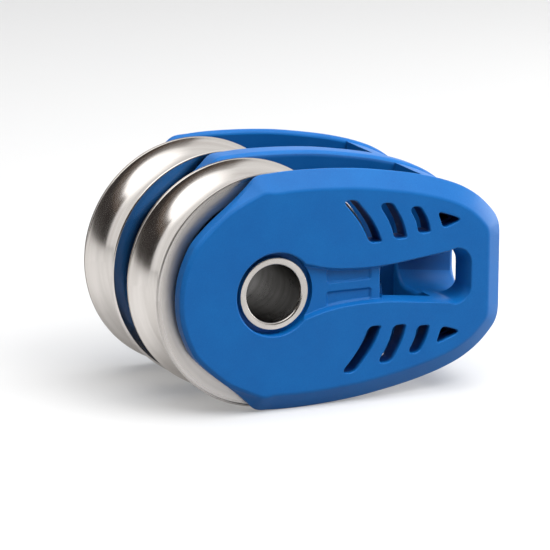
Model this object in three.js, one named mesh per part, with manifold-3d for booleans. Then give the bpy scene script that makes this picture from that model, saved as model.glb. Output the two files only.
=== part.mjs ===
// Double sheave block: two steel sheaves on one hollow axle, between three moulded cheeks.
// Millimetres. X runs from the axle to the head, Y runs along the axle and Z points up.
// The origin is the middle of the axle, and the front of the block is the side towards -Y.
// A lashing goes through the axle, lies in each outer cheek's channel, passes in at its window
// and leaves through the tunnel in the head.

import * as THREE from 'three';
import { mergeVertices } from 'three/addons/utils/BufferGeometryUtils.js';
import Module from 'manifold-3d';

const wasm = await Module();
wasm.setup();

// Axle
const axle_bore_radius = 3.65;
const axle_wall = 0.5;
const collar_rim = 0.32;
const collar_overhang = 0.1;
const collar_bore_chamfer = 0.25;
const collar_edge_chamfer = 0.12;
const collar_face_recess = 0.6;
const collar_lip = 0.6;
const collar_grip = 0.3;
const counterbore_gap = 0.65;
const counterbore_chamfer = 0.25;

// Bearings
const ball_radius = 1.2;
const ball_count = 8;
const race_wall = 1.675;
const race_shoulder_rise = 0.95;
const cage_gap = 0.4;
const cage_back = 0.7;
const cage_horn = 0.5;
const shield_thickness = 0.3;
const shield_inset = 0.2;
const shield_seat_depth = 0.35;
const spacer_wall = 1.35;
const clip_width = 0.5;
const clip_height = 0.9;
const clip_groove_depth = 0.5;
const clip_lip = 0.05;
const clip_opening_half_angle = 0.35;

// Sheaves
const rim_wall = 2.1;
const groove_depth = 2.9;
const rim_land_width = 0.55;
const rim_edge_round = 0.22;
const rim_face_height = 1.9;
const rim_face_slope = 0.25;
const side_recess_depth = 0.8;
const bearing_shoulder_height = 0.7;

// Cheeks
const middle_cheek_thickness = 3.6;
const outer_cheek_thickness = 2.2;
const sheave_proud = 1.95;
const cheek_cover = 0.25;
const cheek_edge_round = 0.35;
const side_bevel = 1.75;
const end_chamfer = 0.5;
const bevel_blend_start = -6.5;
const bevel_blend_end = -0.5;

// Head
const throat_length = 7.3;
const head_length = 9.1;
const head_inset = 0.35;
const head_setback = 0.95;
const tunnel_inner_wall = 0.6;
const tunnel_outer_wall = 1.5;
const tunnel_entry_half_height = 3.3;
const tunnel_exit_half_height = 4.1;
const tunnel_corner_radius = 2.9;
const tunnel_mouth_flare = 0.8;

// Window and channel in each outer cheek
const window_overlap = 0.2;
const head_strap = 4.8;
const window_half_height = 3.3;
const window_corner_radius = 1.9;
const channel_depth = 0.8;
const channel_overlap = 1.5;
const channel_mouth_half_height = 2.9;
const channel_half_height = 1.65;
const channel_side_draft = 0.6;
const window_lip_chamfer = 0.3;
const panel_setback = 2;
const panel_land = 1.3;
const panel_margin = 0.2;
const panel_depth = 0.3;
const rib_half_height = 0.6;

// Slots and notches in each outer cheek
const slot_width = 1.8;
const slot_end_radius = 0.78;
const slot_corner_radius = 0.55;
const slot_bow = 0.65;
const notch_length = 3.7;
const notch_corner_radius = 0.7;
const notch_point_radius = 1.3;
const notch_step = 0.35;
const notch_floor_depth = 7.5;

// Head pins
const head_pin_radius = 0.8;
const head_pin_setback = 3.6;
const head_pin_offset = 1.8;
const head_pin_cheek_depth = 1.1;

// Clearances
const fit = 0.1;
const side_play = 0.45;
const running_gap = 0.3;
const overrun = 0.5;
const least_step = 0.01;

// Facets
const sheave_steps = 48;
const ring_steps = 32;
const bearing_steps = 24;
const groove_steps = 7;
const arc_steps = 5;
const flare_steps = 5;
const side_steps = 13;
const corner_steps = 3;
const raceway_steps = 3;
const pocket_steps = 8;
const pin_steps = 12;

// Half widths about a sheave's own middle, from the balls out to the sheave's faces
const raceway_radius = ball_radius + running_gap;
const cage_half = raceway_radius + cage_back;
const shield_back = cage_half + running_gap;
const shield_face = shield_back + shield_thickness;
const race_half = shield_face + shield_inset;
const race_end = race_half + fit;
const clip_end = race_end + clip_width + 2 * fit;
const web_half = clip_end + clip_lip;
const sheave_half = web_half + side_recess_depth;
const sheave_width = 2 * sheave_half;

// Radii about the axle, from its bore out to the sheave's rim
const axle_radius = axle_bore_radius + axle_wall;
const axle_seat_radius = axle_radius + fit;
const inner_shoulder_radius = axle_seat_radius + race_wall;
const ball_circle_radius = inner_shoulder_radius + race_shoulder_rise;
const outer_shoulder_radius = ball_circle_radius + race_shoulder_rise;
const bearing_outer_radius = outer_shoulder_radius + race_wall;
const groove_floor_radius = bearing_outer_radius + rim_wall;
const sheave_radius = groove_floor_radius + groove_depth;
const collar_radius = axle_radius + collar_rim;
const collar_bore_radius = axle_bore_radius - collar_overhang;
const counterbore_radius = collar_radius + counterbore_gap;

// Places along the axle
const compartment_width = sheave_width + 2 * side_play;
const middle_face = middle_cheek_thickness / 2;
const sheave_middle = middle_face + compartment_width / 2;
const cheek_inner_face = middle_face + compartment_width;
const cheek_outer_face = cheek_inner_face + outer_cheek_thickness;
const tunnel_inner = middle_face + fit + tunnel_inner_wall;
const tunnel_outer = cheek_inner_face - tunnel_outer_wall;
const channel_floor = cheek_outer_face - channel_depth;
const collar_face = cheek_outer_face - collar_face_recess;
const collar_step = collar_face - collar_lip;
const collar_back = collar_step - collar_grip;
const counterbore_floor = collar_back - fit;
const axle_end = collar_step - fit;

// Places along the block
const cheek_end_radius = sheave_radius - sheave_proud;
const cheek_half_height = sheave_radius + cheek_cover;
const throat_end = sheave_radius + throat_length;
const head_reach = throat_end + head_length;
const head_face = head_reach - head_setback;
const head_pin_x = head_reach - head_pin_setback;
const head_pin_z = tunnel_exit_half_height + head_pin_offset;

// Window and channel places
const window_start = sheave_radius - window_overlap;
const window_end = head_reach - head_strap;
const channel_start = counterbore_radius - channel_overlap;
const panel_start = counterbore_radius + panel_setback;
const panel_end = window_start - panel_land;

// Materials
const blue_nylon = { color: 0x1f5fa8, roughness: 0.5, metalness: 0 };
const turned_steel = { color: 0xc9c6c1, roughness: 0.22, metalness: 1 };
const axle_steel = { color: 0xb9b6b2, roughness: 0.3, metalness: 1 };
const bearing_steel = { color: 0xa9aaac, roughness: 0.2, metalness: 1 };
const cage_resin = { color: 0x2a2623, roughness: 0.6, metalness: 0 };
const spacer_resin = { color: 0xe7e4dc, roughness: 0.55, metalness: 0 };

// A closed surface as a solid, with its faces turned out.
function solid_of(geometry) {
  const bare = geometry.clone();
  bare.deleteAttribute('normal');
  bare.deleteAttribute('uv');
  const merged = mergeVertices(bare);
  const places = Float32Array.from(merged.attributes.position.array);
  const corners = Uint32Array.from(merged.index.array);
  if (signed_volume(places, corners) < 0) {
    for (let i = 0; i < corners.length; i += 3) {
      [corners[i], corners[i + 1]] = [corners[i + 1], corners[i]];
    }
  }
  const surface = new wasm.Mesh({ numProp: 3, vertProperties: places, triVerts: corners });
  return new wasm.Manifold(surface);
}

// Volume inside a triangle surface, negative when its faces point in.
function signed_volume(places, corners) {
  let volume = 0;
  const points = [new THREE.Vector3(), new THREE.Vector3(), new THREE.Vector3()];
  for (let i = 0; i < corners.length; i += 3) {
    points.forEach((point, corner) => point.fromArray(places, corners[i + corner] * 3));
    volume += points[0].dot(points[1].cross(points[2]));
  }
  return volume;
}

// A named mesh of a solid, with its own material.
function piece(name, solid, finish) {
  const surface = solid.getMesh();
  const geometry = new THREE.BufferGeometry();
  geometry.setAttribute('position', new THREE.Float32BufferAttribute(surface.vertProperties, 3));
  geometry.setIndex(Array.from(surface.triVerts));
  geometry.computeVertexNormals();
  const mesh = new THREE.Mesh(geometry, new THREE.MeshStandardMaterial(finish));
  mesh.name = name;
  return mesh;
}

// A ring or tube turned about Y from a closed outline of [radius, y] points.
function turned(outline, steps = bearing_steps) {
  const profile = outline.map(([radius, y]) => new THREE.Vector2(radius, y));
  profile.push(profile[0].clone());
  return solid_of(new THREE.LatheGeometry(profile, steps));
}

// A plain rod or hole along Y, from one height to another.
function rod(radius, from_y, to_y, steps = ring_steps) {
  const cylinder = new THREE.CylinderGeometry(radius, radius, to_y - from_y, steps);
  cylinder.translate(0, (from_y + to_y) / 2, 0);
  return solid_of(cylinder);
}

// Triangles that fill a flat ring of points, each wound the way that the ring runs.
function flat_end(ring, across, up) {
  const flat = ring.map((point) => new THREE.Vector2(point[across], point[up]));
  const winding = Math.sign(THREE.ShapeUtils.area(flat));
  return THREE.ShapeUtils.triangulateShape(flat, []).map(([a, b, c]) => {
    const area = THREE.ShapeUtils.area([flat[a], flat[b], flat[c]]);
    return Math.sign(area) === winding ? [a, b, c] : [a, c, b];
  });
}

// A solid skinned over rings of equal point counts, flat at both ends. Each ring is a list of
// Vector3, and the ends are filled in the plane given by the two named axes.
function skinned(rings, across, up) {
  const count = rings[0].length;
  const places = rings.flat().flatMap((point) => point.toArray());
  const corners = [];
  for (let ring = 0; ring + 1 < rings.length; ring += 1) {
    for (let i = 0; i < count; i += 1) {
      const here = ring * count + i;
      const next = ring * count + ((i + 1) % count);
      corners.push(here, next, next + count);
      corners.push(here, next + count, here + count);
    }
  }
  const last = (rings.length - 1) * count;
  for (const [a, b, c] of flat_end(rings[0], across, up)) {
    corners.push(b, a, c);
  }
  for (const [a, b, c] of flat_end(rings[rings.length - 1], across, up)) {
    corners.push(last + a, last + b, last + c);
  }
  const geometry = new THREE.BufferGeometry();
  geometry.setAttribute('position', new THREE.Float32BufferAttribute(places, 3));
  geometry.setIndex(corners);
  return solid_of(geometry);
}

// A block of material between two corners.
function block(low, high) {
  const size = new THREE.Vector3(...high).sub(new THREE.Vector3(...low));
  const box = new THREE.BoxGeometry(size.x, size.y, size.z);
  box.translate(low[0] + size.x / 2, low[1] + size.y / 2, low[2] + size.z / 2);
  return solid_of(box);
}

// The same outline in the XZ plane, extruded from one Y to another.
function through(outline, from_y, to_y) {
  const at = (y) => outline.map((point) => new THREE.Vector3(point.x, y, point.y));
  return skinned([at(from_y), at(to_y)], 'x', 'z');
}

// The closed outline of an upper half, with its mirror image below. A point on the axis is kept once.
function mirrored(half) {
  const above = half.filter((point) => Math.abs(point.y) > least_step);
  const below = above.reverse().map((point) => new THREE.Vector2(point.x, -point.y));
  return [...half, ...below];
}

// An outline moved inwards, each point along its own normal by the distance that inset gives.
function inset_outline(outline, inset) {
  const count = outline.length;
  return outline.map((point, i) => {
    const before = outline[(i + count - 1) % count];
    const after = outline[(i + 1) % count];
    const along = after.clone().sub(before).normalize();
    const inwards = new THREE.Vector2(along.y, -along.x);
    return point.clone().addScaledVector(inwards, inset(point));
  });
}

// Outline of every cheek, clockwise from the round end. The upper half is an arc about the axle,
// a flare out to the shoulder, a long side that falls towards the head, and the flat head face.
const arc_end_angle = 2.54;
const flare_shares = [[-0.629, 0.756], [-0.421, 0.917], [-0.288, 1.038]];
const shoulder_shares = [-0.159, 1.149];
const side_shares = [
  [0, 0.993], [0.13, 1], [0.324, 0.979], [0.482, 0.935], [0.659, 0.862],
  [0.793, 0.772], [0.867, 0.694], [0.916, 0.618], [0.955, 0.537], [0.987, 0.448], [1, 0.35],
];

function cheek_outline() {
  const half = [];
  for (let step = 0; step < arc_steps; step += 1) {
    const angle = Math.PI + (arc_end_angle - Math.PI) * (step / arc_steps);
    half.push(new THREE.Vector2(Math.cos(angle), Math.sin(angle)).multiplyScalar(cheek_end_radius));
  }
  const arc_end = new THREE.Vector2(Math.cos(arc_end_angle), Math.sin(arc_end_angle));
  const shoulder = new THREE.Vector2(...shoulder_shares).multiplyScalar(cheek_end_radius);
  const flare_points = flare_shares.map((share) => new THREE.Vector2(...share).multiplyScalar(cheek_end_radius));
  flare_points.unshift(arc_end.multiplyScalar(cheek_end_radius));
  flare_points.push(shoulder);
  half.push(...new THREE.SplineCurve(flare_points).getPoints(flare_steps));
  const side_points = side_shares.map(([x, z]) => new THREE.Vector2(x * head_reach, z * cheek_half_height));
  half.push(...new THREE.SplineCurve(side_points).getPoints(side_steps));
  return mirrored(half);
}

// How far along the bevel's change from the round end's small chamfer to the side's wide bevel.
function bevel_share(point) {
  return THREE.MathUtils.smoothstep(point.x, bevel_blend_start, bevel_blend_end);
}

// Layers of an outer cheek from its inner face out: share of the thickness, and the outline's
// inset at the round end and along the sides.
const outer_cheek_layers = [
  { rise_share: 0, end: cheek_edge_round, side: cheek_edge_round },
  { rise_share: 0.11, end: 0, side: 0 },
  { rise_share: 0.3, end: 0, side: 0 },
  { rise_share: 0.88, end: 0, side: 0.78 * side_bevel },
  { rise_share: 1, end: end_chamfer, side: side_bevel },
];

function cheek_plate(layers, inner_y, thickness) {
  const outline = cheek_outline();
  const rings = layers.map(({ rise_share, end, side }) => {
    const inset = (point) => THREE.MathUtils.lerp(end, side, bevel_share(point));
    const y = inner_y + thickness * rise_share;
    return inset_outline(outline, inset).map((point) => new THREE.Vector3(point.x, y, point.y));
  });
  return skinned(rings, 'x', 'z');
}

// A polygon with each corner rounded by its own radius, and its first and third sides bowed
// towards +X.
function rounded_outline(points, radii, bow) {
  const shape = new THREE.Shape();
  const count = points.length;
  points.forEach((corner, i) => {
    const before = points[(i + count - 1) % count];
    const after = points[(i + 1) % count];
    const next_radius = radii[(i + 1) % count];
    const enter = before.clone().sub(corner).setLength(radii[i]).add(corner);
    const leave = after.clone().sub(corner).setLength(radii[i]).add(corner);
    if (i === 0) {
      shape.moveTo(enter.x, enter.y);
    }
    shape.quadraticCurveTo(corner.x, corner.y, leave.x, leave.y);
    const next_enter = corner.clone().sub(after).setLength(next_radius).add(after);
    if (bow > 0 && i % 2 === 0) {
      const middle = leave.clone().add(next_enter).multiplyScalar(0.5);
      shape.quadraticCurveTo(middle.x + bow, middle.y, next_enter.x, next_enter.y);
    } else {
      shape.lineTo(next_enter.x, next_enter.y);
    }
  });
  const drawn = shape.getPoints(corner_steps);
  return drawn.filter((point, i) => point.distanceTo(drawn[(i + 1) % drawn.length]) > least_step);
}

// Each slot's outer and inner end: its place as shares of the throat's end and the cheek's half
// height, and its width as a share of the slot width. Then its bow as a share of the slot bow.
const slot_shares = [
  { outer: [0.447, 0.729, 1.02], inner: [0.613, 0.354, 0.93], bow: 1 },
  { outer: [0.671, 0.677, 1.03], inner: [0.767, 0.366, 0.945], bow: 0.65 },
  { outer: [0.852, 0.623, 0.89], inner: [0.915, 0.393, 0.93], bow: 0.45 },
];

// The three slots above the axle line, or below it when side is negative.
function slot_outlines(side) {
  const corner = ([along, up, across], edge) => new THREE.Vector2(
    along * throat_end + edge * across * slot_width / 2,
    up * cheek_half_height * side,
  );
  const radii = [slot_end_radius, slot_corner_radius, slot_corner_radius, slot_end_radius];
  return slot_shares.map(({ outer, inner, bow }) => {
    const corners = [corner(outer, 1), corner(inner, 1), corner(inner, -1), corner(outer, -1)];
    return rounded_outline(corners, radii, bow * slot_bow);
  });
}

// The three-cornered notch at the head end of each row of slots.
const notch_shares = [[-0.055, 0.565], [0.92, 0.478], [0.155, 0.415]];
const notch_depth_share = 0.65;

function notch_outline(side) {
  const corners = notch_shares.map(([along, up]) => new THREE.Vector2(
    throat_end + along * notch_length,
    up * cheek_half_height * side,
  ));
  const radii = [notch_corner_radius, notch_point_radius, notch_corner_radius];
  return rounded_outline(corners, radii, 0);
}

// The smaller outline of the notch's deep part, about the middle of its mouth.
function notch_deep_outline(side) {
  const mouth = notch_outline(side);
  const middle = new THREE.Vector2();
  mouth.forEach((point) => middle.addScaledVector(point, 1 / mouth.length));
  return mouth.map((point) => middle.clone().lerp(point, notch_depth_share));
}

// Upper edge of the channel and window: narrowing from the axle hole, then widening to the head.
const channel_shares = [[0, 1], [0.17, 0.8], [0.43, 0.64]];
const neck_share = 0.72;
const window_shares = [[0, 0.54], [0.42, 0.72], [0.78, 0.93]];
const end_draft_share = 0.4;

function lashing_path_outline(from_x, grow) {
  const channel_length = window_start - channel_start;
  const window_length = window_end - window_start;
  const edge = channel_shares.map(([along, up]) => new THREE.Vector2(
    channel_start + along * channel_length,
    up * channel_mouth_half_height,
  ));
  edge.push(new THREE.Vector2(channel_start + neck_share * channel_length, channel_half_height));
  for (const [along, up] of window_shares) {
    edge.push(new THREE.Vector2(window_start + along * window_length, up * window_half_height));
  }
  const half = edge.filter((point) => point.x > from_x - least_step);
  for (let step = 0; step <= arc_steps; step += 1) {
    const angle = (Math.PI / 2) * (1 - step / arc_steps);
    half.push(new THREE.Vector2(
      window_end - window_corner_radius * (1 - Math.cos(angle)),
      window_half_height - window_corner_radius * (1 - Math.sin(angle)),
    ));
  }
  const fade = (point) => THREE.MathUtils.lerp(
    1,
    end_draft_share,
    THREE.MathUtils.smoothstep(point.x, window_start, window_end - window_corner_radius),
  );
  return inset_outline(mirrored(half), (point) => -grow * fade(point));
}

// The channel's hollow, wider at the face, which runs on round the window.
function channel_hollow() {
  const at = (y, grow) => lashing_path_outline(channel_start, grow)
    .map((point) => new THREE.Vector3(point.x, y, point.y));
  const top_grow = channel_side_draft * (1 + overrun / channel_depth);
  return skinned([at(channel_floor, 0), at(cheek_outer_face + overrun, top_grow)], 'x', 'z');
}

// The two sunk panels in the channel's floor, with the rib left standing between them.
function channel_panels() {
  const panel_floor = channel_floor - panel_depth;
  const path = lashing_path_outline(channel_start, -panel_margin);
  const sunk = through(path, panel_floor, channel_floor + overrun);
  const between = (half_height) => block(
    [panel_start, panel_floor - overrun, -half_height],
    [panel_end, channel_floor + 2 * overrun, half_height],
  );
  return sunk.intersect(between(cheek_half_height)).subtract(between(rib_half_height));
}

// The chamfer from the channel's floor down into the window.
function window_lip() {
  const lip_floor = channel_floor - window_lip_chamfer;
  const profile = (z) => [
    new THREE.Vector3(window_start - window_lip_chamfer, channel_floor, z),
    new THREE.Vector3(window_start - window_lip_chamfer, cheek_outer_face, z),
    new THREE.Vector3(window_start + overrun, cheek_outer_face, z),
    new THREE.Vector3(window_start + overrun, lip_floor, z),
    new THREE.Vector3(window_start, lip_floor, z),
  ];
  return skinned([profile(-channel_half_height), profile(channel_half_height)], 'x', 'y');
}

// Rounded outline of the tunnel across X, at one half height.
function tunnel_ring(x, half_height, grow) {
  const low = tunnel_inner - grow;
  const high = tunnel_outer + grow;
  const top = half_height + grow;
  const round = Math.min(tunnel_corner_radius, top);
  const ring = [];
  const centres = [[high - round, top - round, 0], [low + round, top - round, 1],
    [low + round, round - top, 2], [high - round, round - top, 3]];
  for (const [y, z, quarter] of centres) {
    for (let step = 0; step <= corner_steps; step += 1) {
      const angle = (Math.PI / 2) * (quarter + step / corner_steps);
      ring.push(new THREE.Vector3(x, y + round * Math.cos(angle), z + round * Math.sin(angle)));
    }
  }
  return ring;
}

function tunnel_hollow() {
  const mouth = head_face - tunnel_mouth_flare;
  const rings = [
    tunnel_ring(throat_end - overrun, tunnel_entry_half_height, 0),
    tunnel_ring(mouth, tunnel_exit_half_height, 0),
    tunnel_ring(head_face + least_step, tunnel_exit_half_height, tunnel_mouth_flare),
  ];
  return skinned(rings, 'y', 'z');
}

// An outer cheek in one moulding with its half of the head, as it stands on the +Y side.
function outer_cheek() {
  const plate = cheek_plate(outer_cheek_layers, cheek_inner_face, outer_cheek_thickness);
  const head_outline = inset_outline(cheek_outline(), () => head_inset);
  const head_inner_face = middle_face + fit;
  const head_full = through(head_outline, head_inner_face, cheek_inner_face + overrun);
  const head_end = block(
    [throat_end, head_inner_face - overrun, -cheek_half_height],
    [head_face, cheek_inner_face + overrun, cheek_half_height],
  );
  let body = plate.add(head_full.intersect(head_end)).subtract(tunnel_hollow());
  const window_floor = tunnel_outer - tunnel_corner_radius;
  const window = through(lashing_path_outline(window_start, 0), window_floor, cheek_outer_face + overrun);
  body = body.subtract(window).subtract(channel_hollow()).subtract(window_lip());
  body = body.subtract(channel_panels()).subtract(rod(axle_seat_radius, 0, cheek_outer_face));
  body = body.subtract(counterbore());
  for (const side of [-1, 1]) {
    for (const outline of slot_outlines(side)) {
      body = body.subtract(through(outline, cheek_inner_face - overrun, cheek_outer_face + overrun));
    }
    const notch_floor = cheek_outer_face - notch_floor_depth;
    const notch_ledge = cheek_inner_face + notch_step;
    body = body.subtract(through(notch_outline(side), notch_ledge, cheek_outer_face + overrun));
    body = body.subtract(through(notch_deep_outline(side), notch_floor, notch_ledge + overrun));
    body = body.subtract(head_pin_hole(side, 0, cheek_inner_face + head_pin_cheek_depth));
  }
  return body;
}

// The collar's seat in an outer cheek, with a chamfered edge at the face.
function counterbore() {
  const chamfer_run = counterbore_chamfer + overrun;
  return turned([
    [0, counterbore_floor], [counterbore_radius, counterbore_floor],
    [counterbore_radius, cheek_outer_face - counterbore_chamfer],
    [counterbore_radius + chamfer_run, cheek_outer_face + overrun],
    [0, cheek_outer_face + overrun],
  ], ring_steps);
}

const middle_cheek_layers = [
  { rise_share: 0, end: cheek_edge_round, side: cheek_edge_round },
  { rise_share: 0.1, end: 0, side: 0 },
  { rise_share: 0.9, end: 0, side: 0 },
  { rise_share: 1, end: cheek_edge_round, side: cheek_edge_round },
];

function middle_cheek() {
  let plate = cheek_plate(middle_cheek_layers, -middle_face, middle_cheek_thickness);
  plate = plate.subtract(rod(axle_seat_radius, -cheek_inner_face, cheek_inner_face));
  plate = plate.subtract(block(
    [head_face, -cheek_inner_face, -cheek_half_height],
    [head_reach + overrun, cheek_inner_face, cheek_half_height],
  ));
  for (const side of [-1, 1]) {
    plate = plate.subtract(head_pin_hole(side, -cheek_inner_face, cheek_inner_face));
  }
  return plate;
}

// Pins that locate the mouldings on each other at the head.
function head_pin_hole(side, from_y, to_y) {
  return rod(head_pin_radius + fit, from_y, to_y, pin_steps).translate([head_pin_x, 0, head_pin_z * side]);
}

function head_pin(side) {
  const reach = cheek_inner_face + head_pin_cheek_depth - fit;
  return rod(head_pin_radius, -reach, reach, pin_steps).translate([head_pin_x, 0, head_pin_z * side]);
}

// The hollow axle, with the collar that caps each end in the cheek's counterbore.
function axle_tube() {
  return turned([
    [axle_bore_radius, -axle_end], [axle_radius, -axle_end],
    [axle_radius, axle_end], [axle_bore_radius, axle_end],
  ], ring_steps);
}

function axle_collar() {
  const bore_face = collar_bore_radius + collar_bore_chamfer;
  return turned([
    [axle_seat_radius, collar_back], [collar_radius, collar_back],
    [collar_radius, collar_face - collar_edge_chamfer],
    [collar_radius - collar_edge_chamfer, collar_face], [bore_face, collar_face],
    [collar_bore_radius, collar_face - collar_bore_chamfer], [collar_bore_radius, collar_step],
    [axle_seat_radius, collar_step],
  ], ring_steps);
}

// Half of a raceway's round, as [radius, y] points at the given side of the ball circle.
function raceway(shoulder_radius, towards) {
  const rise = Math.abs(ball_circle_radius - shoulder_radius);
  const reach = Math.acos(rise / raceway_radius);
  const points = [];
  for (let step = 0; step <= raceway_steps; step += 1) {
    const angle = reach * (1 - (2 * step) / raceway_steps);
    points.push([
      ball_circle_radius + towards * raceway_radius * Math.cos(angle),
      raceway_radius * Math.sin(angle),
    ]);
  }
  return points;
}

// A sheave about its own middle plane: groove, rim lands, recessed sides and the bearing's seat.
function sheave() {
  const groove_half = sheave_half - rim_land_width;
  const groove_lip = sheave_radius - rim_edge_round;
  const groove_radius = (groove_half ** 2 + groove_depth ** 2) / (2 * groove_depth);
  const groove_centre = groove_floor_radius + groove_radius;
  const groove_reach = Math.asin(Math.min(1, groove_half / groove_radius));
  const face_end = sheave_radius - rim_face_height;
  const seat = bearing_outer_radius + fit;
  const stop = seat - bearing_shoulder_height;
  const profile = [
    [seat, web_half], [face_end - rim_face_slope, web_half], [face_end, sheave_half],
    [groove_lip, sheave_half], [sheave_radius, sheave_half - rim_edge_round],
  ];
  for (let step = 0; step <= groove_steps; step += 1) {
    const angle = groove_reach * (1 - (2 * step) / groove_steps);
    profile.push([groove_centre - groove_radius * Math.cos(angle), groove_radius * Math.sin(angle)]);
  }
  profile.push(
    [sheave_radius, rim_edge_round - sheave_half], [groove_lip, -sheave_half], [face_end, -sheave_half],
    [face_end - rim_face_slope, -web_half], [stop, -web_half], [stop, -race_end], [seat, -race_end],
    [seat, race_end], [seat + clip_groove_depth, race_end],
    [seat + clip_groove_depth, clip_end], [seat, clip_end],
  );
  return turned(profile, sheave_steps);
}

function outer_race() {
  const seat = shield_back - fit;
  const shield_seat = outer_shoulder_radius + shield_seat_depth;
  return turned([
    [bearing_outer_radius, -race_half], [bearing_outer_radius, race_half], [shield_seat, race_half],
    [shield_seat, seat], [outer_shoulder_radius, seat], ...raceway(outer_shoulder_radius, 1),
    [outer_shoulder_radius, -seat], [shield_seat, -seat], [shield_seat, -race_half],
  ]);
}

function inner_race() {
  return turned([
    [axle_seat_radius, race_half], [axle_seat_radius, -race_half], [inner_shoulder_radius, -race_half],
    ...raceway(inner_shoulder_radius, -1).reverse(), [inner_shoulder_radius, race_half],
  ]);
}

// Turns a solid about Y to each ball's place.
function at_each_ball(solid) {
  const copies = [];
  for (let ball = 0; ball < ball_count; ball += 1) {
    copies.push(solid.rotate([0, (360 * ball) / ball_count, 0]));
  }
  return copies;
}

function bearing_balls() {
  const ball = solid_of(new THREE.IcosahedronGeometry(ball_radius, 1)).translate([ball_circle_radius, 0, 0]);
  return at_each_ball(ball);
}

// A crown cage: a ring behind the balls, with a horn standing up between each two pockets.
function ball_cage() {
  const inner = inner_shoulder_radius + cage_gap;
  const outer = outer_shoulder_radius - cage_gap;
  const ring = turned([[inner, -cage_half], [outer, -cage_half], [outer, cage_horn], [inner, cage_horn]]);
  const pocket = solid_of(new THREE.SphereGeometry(raceway_radius, pocket_steps, pocket_steps / 2))
    .translate([ball_circle_radius, 0, 0]);
  return at_each_ball(pocket).reduce((cage, one) => cage.subtract(one), ring);
}

// A bearing shield, held in the outer race and clear of the inner race.
function shield(side) {
  const outer_y = side * shield_face;
  const inner_y = side * shield_back;
  const inner = inner_shoulder_radius + running_gap;
  const outer = outer_shoulder_radius + shield_seat_depth - fit;
  return turned([[inner, inner_y], [outer, inner_y], [outer, outer_y], [inner, outer_y]]);
}

// The open clip that keeps the bearing in the sheave.
function bearing_clip() {
  const outer = bearing_outer_radius + clip_groove_depth;
  const inner = outer - clip_height;
  const near = race_half + 2 * fit;
  const ring = turned([[inner, near], [outer, near], [outer, near + clip_width], [inner, near + clip_width]]);
  const gap = outer * Math.tan(clip_opening_half_angle);
  return ring.subtract(block([0, 0, -gap], [outer + overrun, near + clip_width + overrun, gap]));
}

// A spacer on the axle, between the inner race and a cheek.
function spacer(side) {
  const near = side * (race_half + fit);
  const far = side * (compartment_width / 2 - fit);
  const outer = axle_seat_radius + spacer_wall;
  return turned([[axle_seat_radius, near], [outer, near], [outer, far], [axle_seat_radius, far]]);
}

// One sheave with its bearing, about the sheave's own middle.
function sheave_set(place) {
  const set = new THREE.Group();
  set.add(
    piece(`${place}_sheave`, sheave(), turned_steel),
    piece(`${place}_outer_race`, outer_race(), bearing_steel),
    piece(`${place}_inner_race`, inner_race(), bearing_steel),
    piece(`${place}_ball_cage`, ball_cage(), cage_resin),
    piece(`${place}_outer_shield`, shield(1), bearing_steel),
    piece(`${place}_inner_shield`, shield(-1), bearing_steel),
    piece(`${place}_bearing_clip`, bearing_clip(), bearing_steel),
    piece(`${place}_outer_spacer`, spacer(1), spacer_resin),
    piece(`${place}_inner_spacer`, spacer(-1), spacer_resin),
  );
  bearing_balls().forEach((ball, i) => set.add(piece(`${place}_ball_${i + 1}`, ball, bearing_steel)));
  return set;
}

// Half of the block on the +Y side of the middle cheek.
function half_block(place) {
  const half = new THREE.Group();
  const set = sheave_set(place);
  set.position.y = sheave_middle;
  half.add(set);
  half.add(piece(`${place}_cheek`, outer_cheek(), blue_nylon));
  half.add(piece(`${place}_axle_collar`, axle_collar(), axle_steel));
  return half;
}

const double_sheave_block = new THREE.Group();
const front = half_block('front');
front.rotation.x = Math.PI;
const rear = half_block('rear');
double_sheave_block.add(front, rear);
double_sheave_block.add(piece('middle_cheek', middle_cheek(), blue_nylon));
double_sheave_block.add(piece('axle_tube', axle_tube(), axle_steel));
double_sheave_block.add(piece('upper_head_pin', head_pin(1), turned_steel));
double_sheave_block.add(piece('lower_head_pin', head_pin(-1), turned_steel));

export default double_sheave_block;
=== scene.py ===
"""Looks of a double sheave block: moulded blue cheeks, two turned steel sheaves and a hollow axle.

Sizes are in millimetres and become metres when a mesh is finished. X runs from the axle to the head,
Y along the axle with the front of the block towards -Y, and Z points up.
"""

import logging
import math
from dataclasses import dataclass
from enum import Enum

import bmesh
import bpy
from mathutils import Matrix, Vector


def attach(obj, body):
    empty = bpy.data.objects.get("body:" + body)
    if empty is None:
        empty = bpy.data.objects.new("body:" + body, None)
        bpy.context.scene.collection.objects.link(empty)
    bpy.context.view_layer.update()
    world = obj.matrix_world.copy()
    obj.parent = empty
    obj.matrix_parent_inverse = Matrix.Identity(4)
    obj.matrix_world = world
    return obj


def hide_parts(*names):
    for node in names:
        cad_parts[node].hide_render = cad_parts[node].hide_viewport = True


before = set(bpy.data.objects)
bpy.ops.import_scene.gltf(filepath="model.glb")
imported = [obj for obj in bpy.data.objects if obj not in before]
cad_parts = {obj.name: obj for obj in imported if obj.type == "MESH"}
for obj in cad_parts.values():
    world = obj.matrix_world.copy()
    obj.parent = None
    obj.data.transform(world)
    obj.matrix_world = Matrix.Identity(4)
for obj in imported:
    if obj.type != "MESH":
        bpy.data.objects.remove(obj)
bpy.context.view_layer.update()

MM = 0.001
OVERRUN = 0.5
FIT = 0.1
HAIR = 0.01
FLAT = 0.9
# Face mark for painted shade: slot walls and faces between cheeks and sheaves are painted darker where shade falls.
PAINTED_SHADE_MARK = "painted_shade_wall"
# How much painted shade the flat faces towards a sheave get.
INNER_PAINTED_SHADE_SHARE = 0.45
NOISE_SPAN = (0.3, 0.7)
BLEND_SPAN = (-6.5, -0.5)

Ring = list[Vector]
Pair = tuple[float, float]
Triple = tuple[float, float, float]
Solid = bmesh.types.BMesh
SceneObject = bpy.types.Object
Material = bpy.types.Material
Socket = bpy.types.NodeSocket
log = logging.getLogger("block")


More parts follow.
